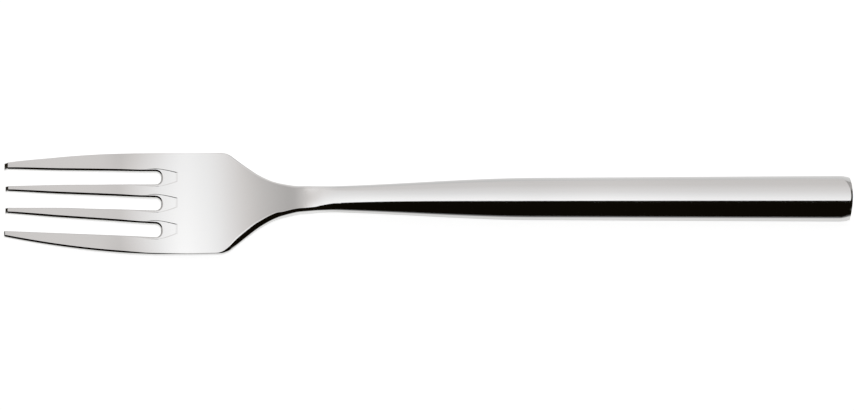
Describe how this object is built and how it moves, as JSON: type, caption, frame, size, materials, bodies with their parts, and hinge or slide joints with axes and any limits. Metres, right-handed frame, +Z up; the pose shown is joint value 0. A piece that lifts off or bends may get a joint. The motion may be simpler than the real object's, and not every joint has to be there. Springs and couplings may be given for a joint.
{
  "type": "dinner fork",
  "caption": "Polished steel dinner fork with tapering tines, wide flat shoulders, a slim curved neck and a hollow oval handle with a blunt end, for spearing and lifting food.",
  "frame": {"origin": "on the table, under the middle of the fork's length and width", "axes": "+X from the tine tips to the butt of the handle, +Z up from the table the fork lies on, tines curving up; Y = 0 is the plane of symmetry"},
  "size_m": [0.208, 0.0254, 0.0089],
  "materials": {
    "polished_steel": "polished",
    "cement": "matte"
  },
  "bodies": {
    "root": {"fork_head": "polished_steel", "upper_handle_shell": "polished_steel", "lower_handle_shell": "polished_steel", "end_cap": "polished_steel", "handle_core": "cement"}
  },
  "joints": []
}
